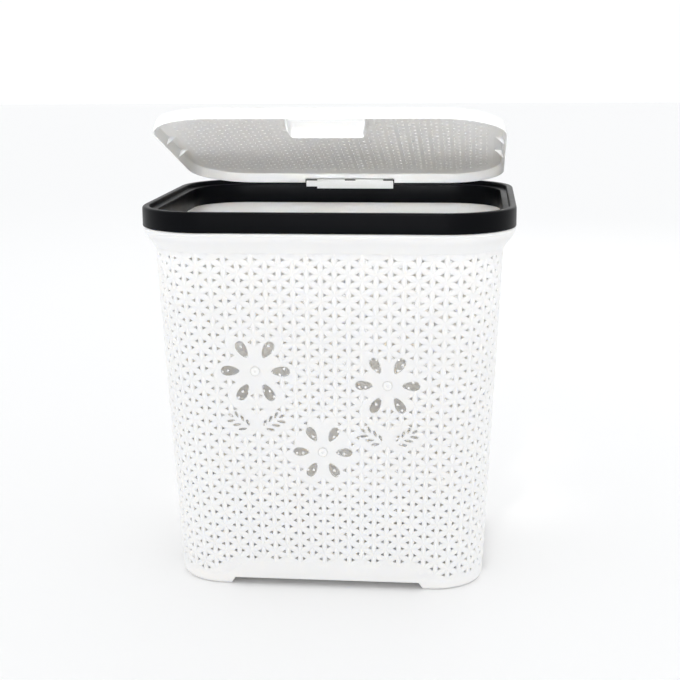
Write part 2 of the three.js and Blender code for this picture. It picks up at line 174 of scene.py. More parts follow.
PLATE_LOW, PLATE_TOP, PLATE_SKIN = 453.5, 464.5, 2
PLATE_GROOVE = {"low": 456.2, "width": 0.7, "depth": 0.5}
PLATE_CORNER = 15.5  # the length of the piece missing from the plate's lower left corner
BRACKET_GAP = 0.35  # between the bracket and the ring
BRACKET_SHELF = 1.8
BRACKET_POST = 2.4
BRACKET_LEGS = (-34, 34)
LEG_HALF, LEG_DROP, LEG_BACK, LEG_SKIN = 6, 4.5, 1.2, 2
LEG_SLOT = {"half": 6.35, "front": 175.6, "back": 178.3}
PAST = 1  # how far cutters reach past what they cut

# ---------------------------------------------------------------- camera, light and floor

# Places and lengths in this section are metres.
CAMERA_PLACE = (0.1794, -1.6865, 0.6608)
CAMERA_YAW, CAMERA_PITCH, CAMERA_ROLL = (math.radians(a) for a in (5.973, 10.997, -0.474))
CAMERA_LENS = 70.65
CAMERA_SHIFT = -0.063

STUDIO_TONE = (0.985, 0.992, 1, 1)
STUDIO_STRENGTH = 1.02
FLOOR_TONE = (0.95, 0.95, 0.95, 1)
FLOOR_ROUGHNESS = 0.7
FLOOR_REACH = 12
MIDDLE = (0, 0, 0.25)  # the middle of the hamper
STRIP = (0.5, 0.06)  # the size of the strip lamps
WARM = (1, 0.96, 0.9)
MOUTH = (0, -0.18, 0.512)  # the middle of the gap under the lid's front edge
MOUTH_LAMP_LIFTS = (40, 55)  # degrees
MOUTH_LAMP_REACH = 2.3


def make_camera():
    data = bpy.data.cameras.new("camera")
    data.lens = CAMERA_LENS
    data.shift_y = CAMERA_SHIFT
    camera = bpy.data.objects.new("camera", data)
    level = math.cos(CAMERA_PITCH)
    ahead = Vector(
        (-math.sin(CAMERA_YAW) * level, math.cos(CAMERA_YAW) * level, -math.sin(CAMERA_PITCH))
    )
    right = Vector((math.cos(CAMERA_YAW), math.sin(CAMERA_YAW), 0))
    up = right.cross(ahead)
    rolled_right = right * math.cos(CAMERA_ROLL) + up * math.sin(CAMERA_ROLL)
    rolled_up = up * math.cos(CAMERA_ROLL) - right * math.sin(CAMERA_ROLL)
    turn = Matrix((rolled_right, rolled_up, -ahead)).transposed().to_4x4()
    camera.matrix_world = Matrix.Translation(CAMERA_PLACE) @ turn
    bpy.context.scene.collection.objects.link(camera)
    bpy.context.scene.camera = camera


def area_light(name, place, size, power, aim=MIDDLE, spread=180, tone=(1, 1, 1)):
    """A rectangular lamp. Its spread is the angle of its beam in degrees."""
    data = bpy.data.lights.new(name, "AREA")
    data.shape = "RECTANGLE"
    data.size, data.size_y = size
    data.energy = power
    data.spread = math.radians(spread)
    data.color = tone
    light = bpy.data.objects.new(name, data)
    light.location = place
    light.rotation_euler = (Vector(aim) - Vector(place)).to_track_quat("-Z", "Y").to_euler()
    bpy.context.scene.collection.objects.link(light)


def make_stage():
    scene = bpy.context.scene
    scene.view_settings.view_transform = "Standard"
    world = bpy.data.worlds.new("studio")
    world.use_nodes = True
    background = world.node_tree.nodes["Background"]
    background.inputs["Color"].default_value = STUDIO_TONE
    background.inputs["Strength"].default_value = STUDIO_STRENGTH
    scene.world = world
    area_light("soft_light", (-0.25, -2.1, 0.8), (0.6, 0.4), 2)
    area_light("key_light", (-0.1, -2.1, 1.0), STRIP, 0.08, (0, 0.17, 0.46), 4)
    area_light("low_light", (0, -1.9, 0.2), STRIP, 0.05, (0, -0.06, 0.54), 4)
    for lift in map(math.radians, MOUTH_LAMP_LIFTS):
        behind, above = MOUTH_LAMP_REACH * math.cos(lift), MOUTH_LAMP_REACH * math.sin(lift)
        area_light(
            "mouth_light", (-0.1, MOUTH[1] - behind, MOUTH[2] + above), STRIP, 0.03, MOUTH, 5, WARM
        )
    area_light("back_light", (0.6, 2.4, 1.6), (2.0, 1.2), 4)
    mesh = bpy.data.meshes.new("floor")
    corners = [(x * FLOOR_REACH, y * FLOOR_REACH, 0) for x, y in ((-1, -1), (1, -1), (1, 1), (-1, 1))]
    mesh.from_pydata(corners, [], [(0, 1, 2, 3)])
    floor = bpy.data.objects.new("floor", mesh)
    scene.collection.objects.link(floor)
    material = bpy.data.materials.new("pale_floor")
    material.use_nodes = True
    shader = material.node_tree.nodes["Principled BSDF"]
    shader.inputs["Base Color"].default_value = FLOOR_TONE
    shader.inputs["Roughness"].default_value = FLOOR_ROUGHNESS
    mesh.materials.append(material)


# ---------------------------------------------------------------- materials

DRIFT_SCALE, GLOSS_SCALE, GRAIN_SCALE = 9, 60, 900  # noise features in a metre
DRIFT_RANGE = (0.35, 0.65)  # the noise that gives the dark and the light tone
GRAIN_DEPTH = 0.0002
GLOW_COLOURS = (1, 0.95, 0.86)  # how far each colour goes inside the plastic, of GLOW_DEPTH
GLOW_DEPTH = 0.004
# The light and the dark tone, the range of roughness and the strength of the grain.
FINISHES = {
    "basket_plastic": ((0.925, 0.915, 0.9), (0.905, 0.895, 0.88), (0.36, 0.5), 0.12),
    "lid_plastic": ((0.86, 0.855, 0.845), (0.84, 0.835, 0.825), (0.34, 0.48), 0.12),
    "ring_plastic": ((0.0022, 0.0027, 0.004), (0.0015, 0.0018, 0.0026), (0.28, 0.4), 0.18),
    "hinge_plastic": ((0.83, 0.83, 0.82), (0.8, 0.8, 0.79), (0.32, 0.44), 0.1),
    "pin_steel": ((0.62, 0.63, 0.65), (0.48, 0.49, 0.51), (0.18, 0.32), 0.1),
}
TRANSLUCENCY = {"basket_plastic": 1.0, "lid_plastic": 0.8}
RING_SPECULAR = 0.06


def value_range(tree, source, low, high):
    """A node that maps a 0 to 1 value to a range."""
    node = tree.nodes.new("ShaderNodeMapRange")
    node.inputs["To Min"].default_value = low
    node.inputs["To Max"].default_value = high
    tree.links.new(source, node.inputs["Value"])
    return node.outputs["Result"]


def noise(tree, scale, detail):
    """Noise over the piece's own coordinates, in metres."""
    place = tree.nodes.new("ShaderNodeTexCoord")
    node = tree.nodes.new("ShaderNodeTexNoise")
    node.inputs["Scale"].default_value = scale
    node.inputs["Detail"].default_value = detail
    tree.links.new(place.outputs["Object"], node.inputs["Vector"])
    return node.outputs["Fac"]


def make_material(name):
    """Moulded plastic or drawn wire: slow colour drift, a fine surface grain and uneven gloss."""
    light_tone, dark_tone, roughness, grain = FINISHES[name]
    material = bpy.data.materials.new(name)
    material.use_nodes = True
    tree = material.node_tree
    shader = tree.nodes["Principled BSDF"]
    ramp = tree.nodes.new("ShaderNodeValToRGB")
    for stop, place, tone in zip(ramp.color_ramp.elements, DRIFT_RANGE, (dark_tone, light_tone)):
        stop.position = place
        stop.color = (*tone, 1)
    tree.links.new(noise(tree, DRIFT_SCALE, 3), ramp.inputs["Fac"])
    tree.links.new(ramp.outputs["Color"], shader.inputs["Base Color"])
    gloss = value_range(tree, noise(tree, GLOSS_SCALE, 4), *roughness)
    tree.links.new(gloss, shader.inputs["Roughness"])
    bump = tree.nodes.new("ShaderNodeBump")
    bump.inputs["Strength"].default_value = grain
    bump.inputs["Distance"].default_value = GRAIN_DEPTH
    tree.links.new(noise(tree, GRAIN_SCALE, 3), bump.inputs["Height"])
    tree.links.new(bump.outputs["Normal"], shader.inputs["Normal"])
    if name in TRANSLUCENCY:
        make_translucent(shader, TRANSLUCENCY[name])
    if name == "ring_plastic":
        shader.inputs["Specular IOR Level"].default_value = RING_SPECULAR
    if name == "pin_steel":
        shader.inputs["Metallic"].default_value = 1.0
    return material


def make_translucent(shader, weight):
    """White plastic a couple of millimetres thick, which lets soft light through."""
    shader.inputs["Subsurface Weight"].default_value = weight
    shader.inputs["Subsurface Radius"].default_value = GLOW_COLOURS
    shader.inputs["Subsurface Scale"].default_value = GLOW_DEPTH


# ---------------------------------------------------------------- shapes


def inset(size, by):
    return tuple(value - by for value in size)


def full_turn(count):
    """Evenly spaced angles round a circle."""
    return np.arange(count) * 2 * math.pi / count


def even_shares(count):
    """Evenly spaced shares of an outline's length."""
    return np.arange(count) / count


def ease(x):
    """A smooth step from 0 to 1."""
    x = np.clip(x, 0, 1)
    return x * x * (3 - 2 * x)


def rounded_rectangle(size, share):
    """Points and outward normals round a rounded rectangle, by share of its length.
    Share 0 is the front's middle, and it grows to the right. All arguments may be arrays."""
    half_x, half_y, radius = size
    share = np.mod(share, 1.0)
    side = np.where(share > 0.5, -1.0, 1.0)
    straight_x, straight_y = half_x - radius, half_y - radius
    arc = radius * math.pi / 2
    length = 4 * (straight_x + straight_y + arc)
    s = np.where(share > 0.5, 1 - share, share) * length
    turn_a = np.clip((s - straight_x) / radius, 0, math.pi / 2)
    s_b = s - straight_x - arc - 2 * straight_y
    turn_b = np.clip(s_b / radius, 0, math.pi / 2)
    turn = turn_a + turn_b
    nx, ny = np.sin(turn), -np.cos(turn)
    run_y = np.clip(s - straight_x - arc, 0, 2 * straight_y)
    run_x = np.clip(s_b - arc, 0, straight_x)
    x = np.minimum(s, straight_x) - run_x + radius * nx
    y = -straight_y + run_y + radius * ny
    return x * side, y, nx * side, ny


def ring_row(size, z, count, y_middle=0):
    x, y, _, _ = rounded_rectangle(size, even_shares(count))
    return np.stack([x, y + y_middle, np.broadcast_to(z, x.shape)], axis=1)


def rounded(corners, steps=4):
    """A closed outline through (a, b, radius) corners, with an arc at each that has a radius."""
    outline = []
    for k, (a, b, radius) in enumerate(corners):
        corner = np.array((a, b), float)
        if not radius:
            outline.append(corner)
            continue
        before = np.array(corners[k - 1][:2], float) - corner
        after = np.array(corners[(k + 1) % len(corners)][:2], float) - corner
        before /= np.linalg.norm(before)
        after /= np.linalg.norm(after)
        half = math.acos(np.clip(before @ after, -1, 1)) / 2
        centre = corner + (before + after) / np.linalg.norm(before + after) * radius / math.sin(half)
        start = corner + before * radius / math.tan(half) - centre
        end = corner + after * radius / math.tan(half) - centre
        first = math.atan2(start[1], start[0])
        turn = (math.atan2(end[1], end[0]) - first + math.pi) % (2 * math.pi) - math.pi
        for i in range(steps + 1):
            angle = first + turn * i / steps
            outline.append(centre + radius * np.array((math.cos(angle), math.sin(angle))))
    return np.array(outline)


def face_outwards(mesh):
    work = bmesh.new()
    work.from_mesh(mesh)
    bmesh.ops.recalc_face_normals(work, faces=work.faces)
    work.to_mesh(mesh)
    work.free()


def new_object(name, points, faces, fix_normals=True):
    """An object from points in millimetres."""
    mesh = bpy.data.meshes.new(name)
    mesh.from_pydata((np.asarray(points, float) * MM).tolist(), [], faces)
    if fix_normals:
        face_outwards(mesh)
    made = bpy.data.objects.new(name, mesh)
    bpy.context.scene.collection.objects.link(made)
    return made


def lofted(name, rows, wrap_rows=False, wrap_columns=True):
    """A closed solid through rows of points, capped wherever it doesn't close on itself."""
    rows = np.asarray(rows, float)
    row_count, column_count = rows.shape[:2]
    index = np.arange(row_count * column_count).reshape(row_count, column_count)
    across = np.concatenate([index, index[:, :1]], axis=1) if wrap_columns else index
    grid = np.concatenate([across, across[:1]], axis=0) if wrap_rows else across
    quads = np.stack([grid[:-1, :-1], grid[:-1, 1:], grid[1:, 1:], grid[1:, :-1]], axis=-1)
    faces = quads.reshape(-1, 4).tolist()
    if not wrap_rows:
        faces += [index[0, ::-1].tolist(), index[-1].tolist()]
    if not wrap_columns:
        faces += [index[:, 0].tolist(), index[::-1, -1].tolist()]
    return new_object(name, rows.reshape(-1, 3), faces)


def prism(name, outline, low, high, axis=2):
    """An outline's prism along an axis. The outline's two coordinates are the other two."""
    outline = np.asarray(outline, float)
    rows = [np.insert(outline, axis, level, axis=1) for level in (low, high)]
    return lofted(name, rows)


def bar_along_x(name, radius, x0, x1, y=0, z=0, edge=0.4, sides=40):
    """A round bar with its end edges eased."""
    turn = full_turn(sides)
    ends = ((x0, radius - edge), (x0 + edge, radius), (x1 - edge, radius), (x1, radius - edge))
    rows = [
        np.stack([np.full(sides, x), y + r * np.cos(turn), z + r * np.sin(turn)], axis=1)
        for x, r in ends
    ]
    return lofted(name, rows)


def eased_box(name, low, high, edge=0.4):
    """A box with its edges rounded."""
    low, high = np.array(low, float), np.array(high, float)
    corners = [
        low + (high - low) * np.array((i, j, k)) for i in (0, 1) for j in (0, 1) for k in (0, 1)
    ]
    faces = [(0, 1, 3, 2), (4, 6, 7, 5), (0, 4, 5, 1), (2, 3, 7, 6), (0, 2, 6, 4), (1, 5, 7, 3)]
    made = new_object(name, corners, faces)
    if edge:
        work = bmesh.new()
        work.from_mesh(made.data)
        bmesh.ops.bevel(
            work, geom=work.edges[:], offset=edge * MM, segments=2, profile=0.5, affect="EDGES"
        )
        work.to_mesh(made.data)
        work.free()
    return made


def combine(base, operation, tools):
    """The base joined with or cut by each tool in turn. The tools are used up."""
    for tool in tools:
        modifier = base.modifiers.new(operation.lower(), "BOOLEAN")
        modifier.operation = operation
        modifier.solver = "MANIFOLD"
        modifier.object = tool
    graph = bpy.context.evaluated_depsgraph_get()
    mesh = bpy.data.meshes.new_from_object(base.evaluated_get(graph), depsgraph=graph)
    base.modifiers.clear()
    base.data = mesh
    for tool in tools:
        bpy.data.objects.remove(tool)
    return base


def merged(pieces):
    """One object of several that don't touch."""
    first, *rest = pieces
    work = bmesh.new()
    for piece in pieces:
        work.from_mesh(piece.data)
    work.to_mesh(first.data)
    work.free()
    for piece in rest:
        bpy.data.objects.remove(piece)
    return first


def finish_piece(piece, name, body, node, material):
    """Names the piece, shades it, gives it its material and puts it on its body."""
    piece.name = name
    piece.data.name = name
    piece.data.materials.clear()
    piece.data.materials.append(material)
    piece.data.shade_smooth()
    piece.data.set_sharp_from_angle(angle=math.radians(CREASE_ANGLE))
    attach(piece, body)
    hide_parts(node)
    return piece


# ---------------------------------------------------------------- the moulded weave


def hole_outline():
    """The rounded triangular hole to the right of an upright strand, in steps of the lattice.
    It starts at the lower left corner, as the lattice triangle does, with as many points."""
    slope = ROW_STEP / COLUMN_STEP
    slanted_rise = SLANTED_HALF * math.hypot(1, slope)
    half_height = ROW_STEP - slope * UPRIGHT_HALF - slanted_rise
    apex = (ROW_STEP - slanted_rise) / slope
    corners = np.array([(UPRIGHT_HALF, -half_height), (apex, 0), (UPRIGHT_HALF, half_height)])
    middle = corners.mean(axis=0)
    points = []
    for start, end in zip(corners, np.roll(corners, -1, axis=0)):
        points.append(start + HOLE_ROUNDING * (middle - start))
        points += [start + share * (end - start) for share in STRAND_FRACTIONS[1:]]
    return np.array(points) / (COLUMN_STEP, -ROW_STEP)


def triangle_outline():
    """The lattice triangle to the right of a strand: along two slanted strands and up the upright
    one, between the crossings. Gives (column, row) offsets and the height of the crown there."""
    corners = np.array([(0, 1), (1, 0), (0, -1)], float)
    points = [
        start + share * (end - start)
        for start, end in zip(corners, np.roll(corners, -1, axis=0))
        for share in STRAND_FRACTIONS
    ]
    return np.array(points), np.array(SLANTED_CROWN * 2 + UPRIGHT_CROWN)


def shared(points, period):
    """Unique points of an array of (column, row), and each one's number in that list."""
    keys = np.round(points.reshape(-1, 2) * 100).astype(int)
    if period:
        keys[:, 0] %= period * 100
    _, first, number = np.unique(keys, axis=0, return_index=True, return_inverse=True)
    return points.reshape(-1, 2)[first], number.reshape(points.shape[:-1])


def lattice(columns, rows):
    """The lattice's triangles as arrays: strand, row, and the side of the strand they are on."""
    cells = [
        (column, row, side)
        for row in rows
        for column in columns
        if (column + row) % 2
        for side in (1, -1)
    ]
    return np.array(cells, float).T


class Shell:
    """Collects the vertices and faces of a weave, in lattice coordinates."""

    def __init__(self):
        self.points = []
        self.faces = []
        self.count = 0

    def add(self, places, heights):
        """Adds vertices at (column, row) places and heights, and returns their numbers."""
        heights = np.broadcast_to(heights, places.shape[:-1])
        self.points.append(np.concatenate([places, heights[..., None]], axis=-1).reshape(-1, 3))
        numbers = self.count + np.arange(heights.size).reshape(heights.shape)
        self.count += heights.size
        return numbers

    def band(self, outer, inner):
        """Quads between two rings of numbers, outer ring first."""
        after_outer, after_inner = np.roll(outer, -1, axis=1), np.roll(inner, -1, axis=1)
        quads = np.stack([outer, after_outer, after_inner, inner], axis=-1)
        self.faces += quads.reshape(-1, 4).tolist()

    def fan(self, ring, middle):
        after = np.roll(ring, -1, axis=1)
        triangles = np.stack([ring, after, np.broadcast_to(middle[:, None], ring.shape)], axis=-1)
        self.faces += triangles.reshape(-1, 3).tolist()

    def object(self, name, place):
        points = place(np.concatenate(self.points))
        return new_object(name, points, self.faces, fix_normals=False)


def free_edges(rings):
    """True for each side of each triangle that no neighbour shares, from the crown rings."""
    corners = rings[:, ::len(STRAND_FRACTIONS)]
    after = np.roll(corners, -1, axis=1)
    known = set(zip(corners.ravel().tolist(), after.ravel().tolist()))
    alone = [(b, a) not in known for a, b in zip(corners.ravel(), after.ravel())]
    return np.array(alone).reshape(-1, 3)


def relief_height(height, relief):
    """A height on the weave, drawn towards the smooth level where the relief is under 1."""
    return FLUSH + (height - FLUSH) * relief


def crown_layer(cells, period, relief):
    """The strands' crown lines, shared by neighbours: places, numbers, heights, hole places."""
    strand, row, side = cells
    outline, crowns = triangle_outline()
    origin = np.stack([strand, row], axis=1)[:, None, :]
    rings = origin + outline * side[:, None, None]
    holes = origin + hole_outline() * side[:, None, None]
    places, numbers = shared(rings, period)
    heights = np.zeros(len(places))
    heights[numbers] = np.broadcast_to(crowns, numbers.shape)
    return rings, holes, places, numbers, relief_height(heights, relief(places))


def perforated_weave(name, cells, is_open, period, relief, skin, place):
    """A closed shell of woven strands with real holes in its open cells."""
    rings, holes, places, numbers, heights = crown_layer(cells, period, relief)
    steps = len(STRAND_FRACTIONS)
    shell = Shell()
    crown = shell.add(places, heights)[numbers]
    node_places, node_numbers = shared(rings[:, ::steps], period)
    nodes = shell.add(node_places, -skin)[node_numbers]
    flank_places = rings + FLANK_SHARE * (holes - rings)
    flanks = np.array(SLANTED_FLANK * 2 + UPRIGHT_FLANK)
    flank_heights = relief_height(flanks, relief(flank_places))
    flank = shell.add(flank_places[is_open], flank_heights[is_open])
    edge_heights = relief_height(HOLE_EDGE, relief(holes))
    edge = shell.add(holes[is_open], edge_heights[is_open])
    inner_edge = shell.add(holes[is_open], -skin)
    shell.band(crown[is_open], flank)
    shell.band(flank, edge)
    shell.band(edge, inner_edge)
    for side in range(3):
        span = [(side * steps + k) % (3 * steps) for k in range(steps + 1)]
        ends = nodes[is_open][:, [(side + 1) % 3, side]]
        shell.faces += np.concatenate([inner_edge[:, span], ends], axis=1).tolist()
    closed = ~is_open
    middles = holes.mean(axis=1)[closed]
    middle = shell.add(middles, relief_height(BLIND_MIDDLE, relief(middles)))
    shell.fan(crown[closed], middle)
    shell.faces += nodes[closed][:, ::-1].tolist()
    for cell, side in zip(*np.nonzero(free_edges(crown))):
        span = [(side * steps + k) % (3 * steps) for k in range(steps, -1, -1)]
        ends = nodes[cell, [side, (side + 1) % 3]]
        shell.faces.append([*crown[cell, span].tolist(), *ends.tolist()])
    return shell.object(name, place)


# ---------------------------------------------------------------- basket


def wall_size(height):
    """The wall's outer section at a height: an even taper, with the flare to the ridge added."""
    taper = np.minimum(height, NECK_HEIGHT) / NECK_HEIGHT
    flare = ease((height - FLARE_LOW) / (RIDGE_LOW - FLARE_LOW))
    ridge = inset(RING_SIZE, RIDGE_INSET)
    return tuple(
        f + (n - f) * taper + (r - n) * flare for f, n, r in zip(FOOT_SIZE, NECK_SIZE, ridge)
    )


def wall_points(share, height, outwards):
    x, y, nx, ny = rounded_rectangle(wall_size(height), share)
    height = np.broadcast_to(height, x.shape)
    return np.stack([x + nx * outwards, y + ny * outwards, height], axis=-1)


def corner_lengths(size):
    """Half the straight front, a corner's arc, the straight side, and the whole way round."""
    straight_x, straight_y = size[0] - size[2], size[1] - size[2]
    arc = size[2] * math.pi / 2
    return straight_x, arc, 2 * straight_y, 4 * (straight_x + straight_y + arc)


def corner_distance(share):
    """How far along the wall's foot the nearest corner's middle is."""
    straight, arc, side, length = corner_lengths(FOOT_SIZE)
    share = np.mod(share, 1.0)
    s = np.minimum(share, 1 - share) * length
    front = np.abs(s - straight - arc / 2)
    back = np.abs(s - straight - arc * 1.5 - side)
    return np.minimum(front, back)


def skirt_top(share):
    half, length = CORNER_SKIRT_REACH
    rise = ease((corner_distance(share) - half) / length)
    return CORNER_SKIRT_TOP + (SKIRT_TOP - CORNER_SKIRT_TOP) * rise


def wall_share(column):
    """How far round the wall a lattice column is, from the middle of the front."""
    return (column + PATTERN_SHIFT) / COLUMNS


def row_height(row):
    """A lattice row's height. The last crossings are drawn up into the skirt."""
    return TOP_ROW_HEIGHT - ROW_STEP * np.minimum(row, LAST_ROW + 0.2)


def petal_outline(inner, outer, width, steps=28):
    """An egg along +X whose narrow end is at inner."""
    turn = full_turn(steps)
    along = (inner + outer) / 2 + (outer - inner) / 2 * np.cos(turn)
    swell = np.sin(turn) * (PETAL_FULLNESS + (1 - PETAL_FULLNESS) * np.cos(turn)) / PETAL_SWELL
    return np.stack([along, width / 2 * swell], axis=1)


def petal_distance(x, z, flower):
    """Distance to a flower's nearest petal, negative inside it."""
    x, z = x - flower["x"], z - flower["z"]
    radius = flower["width"] / 2
    middle = flower["outer"] - radius
    nearest = np.full(np.shape(x), np.inf)
    for angle in full_turn(PETALS):
        along = x * math.cos(angle) + z * math.sin(angle)
        across = z * math.cos(angle) - x * math.sin(angle)
        held = np.clip(along, flower["inner"], middle)
        half = radius * (held - flower["inner"]) / (middle - flower["inner"])
        nearest = np.minimum(nearest, np.hypot(along - held, across) - half)
    return nearest


def within(distance, border):
    """1 inside a smooth stretch, easing to 0 across its border."""
    start, width = border
    return 1 - ease((distance - start) / width)


def smoothness(places):
    """0 on the weave, 1 on the smooth moulding round the flowers and sprigs, and below and above."""
    share, height = wall_share(places[..., 0]), row_height(places[..., 1])
    points = wall_points(share, height, 0)
    x, y = points[..., 0], points[..., 1]
    smooth = np.maximum(ease(-places[..., 1]), ease((skirt_top(share) - height) / SKIRT_FADE + 1))
    pattern = np.zeros(x.shape)
    for flower in FLOWERS:
        heart = np.hypot(x - flower["x"], height - flower["z"])
        pattern = np.maximum(pattern, within(heart, HEART_BORDER))
        pattern = np.maximum(pattern, within(petal_distance(x, height, flower), PETAL_BORDER))
    for sprig_x, sprig_z, _ in SPRIGS:
        reach = np.hypot((x - sprig_x) / SPRIG_REACH[0], (height - sprig_z) / SPRIG_REACH[1])
        pattern = np.maximum(pattern, within(reach, SPRIG_BORDER))
    return np.maximum(smooth, np.where(y < -FOOT_SIZE[1] / 2, pattern, 0))


def open_cells(cells):
    """True for the lattice cells that have a hole."""
    strand, row, side = cells
    share = wall_share(strand + side * CELL_MIDDLE)
    points = wall_points(share, row_height(row), 0)
    x, y, z = points.T
    is_open = (row >= 0) & (row < FULL_ROWS)
    for low_row, reach in CORNER_ROWS.items():
        is_open |= (row == low_row) & (corner_distance(share) < reach)
    front = y < -FOOT_SIZE[1] / 2
    for flower in FLOWERS:
        heart = np.hypot(x - flower["x"], z - flower["z"])
        blocked = (heart < FLOWER_HEART) | (petal_distance(x, z, flower) < PETAL_CLEARANCE)
        is_open &= ~(front & blocked)
    for sprig_x, sprig_z, _ in SPRIGS:
        reach = np.hypot((x - sprig_x) / SPRIG_REACH[0], (z - sprig_z) / SPRIG_REACH[1])
        is_open &= ~(front & (reach < 1))
    return is_open


def woven_wall():
    cells = lattice(range(COLUMNS), range(-1, LAST_ROW + 1))

    def place(points):
        return wall_points(wall_share(points[:, 0]), row_height(points[:, 1]), points[:, 2])

    return perforated_weave(
        "wall", cells, open_cells(cells), COLUMNS, lambda p: 1 - smoothness(p), WALL_SKIN, place
    )


def collar():
    """The smooth band above the weave, its flare to the ridge, and the lip inside the ring."""
    share = even_shares(ROUND_COUNT)
    low = TOP_ROW_HEIGHT + ROW_STEP - 1
    outside = [(low, -0.2), (low + 0.8, 0.62), (low + 2.4, COLLAR_PROUD)]
    outside += [(NECK_HEIGHT + step, COLLAR_PROUD * (1 - step / 18)) for step in range(0, 16, 3)]
    outside += [(RIDGE_LOW - 0.6, 0.1), (RIDGE_LOW, 0.6), (RIDGE_LOW + 1.2, 0.9), (RIDGE_HIGH, 0.8)]
    inside = [(RIDGE_LOW, -WALL_SKIN)]
    inside += [(NECK_HEIGHT + step, -WALL_SKIN - 0.15) for step in range(15, -1, -3)]
    inside += [(low + 0.6, -WALL_SKIN - 0.15), (low, -WALL_SKIN + 0.3)]
    lip = inset(RING_SIZE, LIP_INSET)
    lip_inner = inset(lip, WALL_SKIN)
    rows = [wall_points(share, z, by) for z, by in outside]
    rows += [ring_row(lip, z, ROUND_COUNT) for z in (RIDGE_HIGH + 0.3, LIP_TOP)]
    rows += [ring_row(lip_inner, z, ROUND_COUNT) for z in (LIP_TOP, RIDGE_LOW + 1)]
    rows += [wall_points(share, z, by) for z, by in inside]
    return lofted("collar", rows, wrap_rows=True)


def skirt():
    """The smooth band under the weave. It is lower at the corners, where the weave goes on."""
    share = even_shares(ROUND_COUNT)
    top = skirt_top(share)
    inner = -WALL_SKIN - 0.2
    profile = [
        (inner, SKIRT_EDGE + 0.7), (inner + 0.6, SKIRT_EDGE), (0, SKIRT_EDGE), (0.62, SKIRT_EDGE + 0.7),
        (0.66, top - 0.9), (0.45, top - 0.2), (-0.1, top), (inner + 0.3, top),
        (inner, top - 0.6),
    ]
    return lofted("skirt", [wall_points(share, z, by) for by, z in profile], wrap_rows=True)


def foot(number):
    """A corner foot: a bent bar under the wall, rounded below, with sloping ends."""
    corners = [
        (0.55, FOOT_RISE + 1.5, 0), (0.55, 0, 5.5),
        (-FOOT_DEPTH, 0, 1.2), (-FOOT_DEPTH, FOOT_RISE, 0),
    ]
    along = np.linspace(-1, 1, 37)
    rows = []
    for by, height in rounded(corners, 6):
        straight, arc, _, length = corner_lengths(wall_size(height))
        reach = arc / 2 + FOOT_REACH[0] + (FOOT_REACH[1] - FOOT_REACH[0]) * height / FOOT_RISE
        middle = (straight + arc / 2) / length
        shares = (middle, 0.5 - middle, 0.5 + middle, 1 - middle)
        rows.append(wall_points(shares[number] + along * reach / length, height, by))
    return lofted("foot", rows, wrap_rows=True, wrap_columns=False)


def floor_plate():
    size = inset(wall_size(FLOOR_UNDER), 1)
    rows = [ring_row(size, z, ROUND_COUNT) for z in (FLOOR_UNDER, FLOOR_TOP)]
    return lofted("floor_plate", rows)


def boss_row(flower, radius, y, sides=28):
    """A circle about a flower's middle, y behind the smooth wall. Its radius is a share."""
    wall = -wall_size(flower["z"])[1] - FLUSH
    turn = full_turn(sides)
    x = flower["x"] + radius * BOSS_RADIUS * np.cos(turn)
    z = flower["z"] + radius * BOSS_RADIUS * np.sin(turn)
    return np.stack([x, np.full(sides, wall + y), z], axis=1)


def ring_groove(flower):
    """A cutter for the fine groove round a boss."""
    outside, depth = GROOVE_CUT
    profile = ((1, -outside), (BOSS_GROOVE, -outside), (BOSS_GROOVE, depth), (1, depth))
    rows = [boss_row(flower, radius, y) for radius, y in profile]
    return lofted("groove", rows, wrap_rows=True)


def boss(flower):
    """The low dome in the middle of a flower, with a dimple where the moulding was filled."""
    return lofted("boss", [boss_row(flower, radius, -proud) for radius, proud in BOSS_PROFILE])


def turned(outline, angle, x, z):
    c, s = math.cos(angle), math.sin(angle)
    return outline @ np.array([(c, s), (-s, c)]) + (x, z)


def wall_cutter(outline):
    """A cutter through the front wall for an outline of (x, z)."""
    face = -wall_size(outline[:, 1].mean())[1]
    outside, inside = WALL_CUT
    return prism("cutter", outline, face - outside, face + inside, axis=1)


def petal_cutters():
    return [
        wall_cutter(
            turned(
                petal_outline(flower["inner"], flower["outer"], flower["width"]),
                angle, flower["x"], flower["z"],
            )
        )
        for flower in FLOWERS
        for angle in full_turn(PETALS)
    ]


def sprig_cutters(sprig_x, sprig_z, hand):
    """Seven slots in the shape of a sprig: a stem that isn't cut, with leaflets on both sides."""
    step_x, step_z = UPRIGHT_LEAFLET_STEP
    leaflets = [(x, z, *FLAT_LEAFLET) for x, z in SPRIG_STEM]
    leaflets += [(x + step_x, z + step_z, *UPRIGHT_LEAFLET) for x, z in SPRIG_STEM]
    leaflets.append((*END_LEAFLET_PLACE, *END_LEAFLET))
    cutters = []
    for x, z, angle, length in leaflets:
        outline = turned(petal_outline(1, length, LEAFLET_WIDTH, 10), math.radians(angle), x, z)
        outline[:, 0] *= hand
        cutters.append(wall_cutter(outline + (sprig_x, sprig_z)))
    return cutters


def make_basket(material):
    wall = woven_wall()
    base = combine(skirt(), "UNION", [merged([foot(n) for n in range(4)]), floor_plate()])
    bosses = merged([boss(flower) for flower in FLOWERS])
    cutters = merged(petal_cutters() + [c for sprig in SPRIGS for c in sprig_cutters(*sprig)])
    combine(wall, "UNION", [collar(), base])
    combine(wall, "DIFFERENCE", [cutters, merged([ring_groove(flower) for flower in FLOWERS])])
    combine(wall, "UNION", [bosses])
    return finish_piece(wall, "basket", "basket", "basket_body", material)


# ---------------------------------------------------------------- black ring


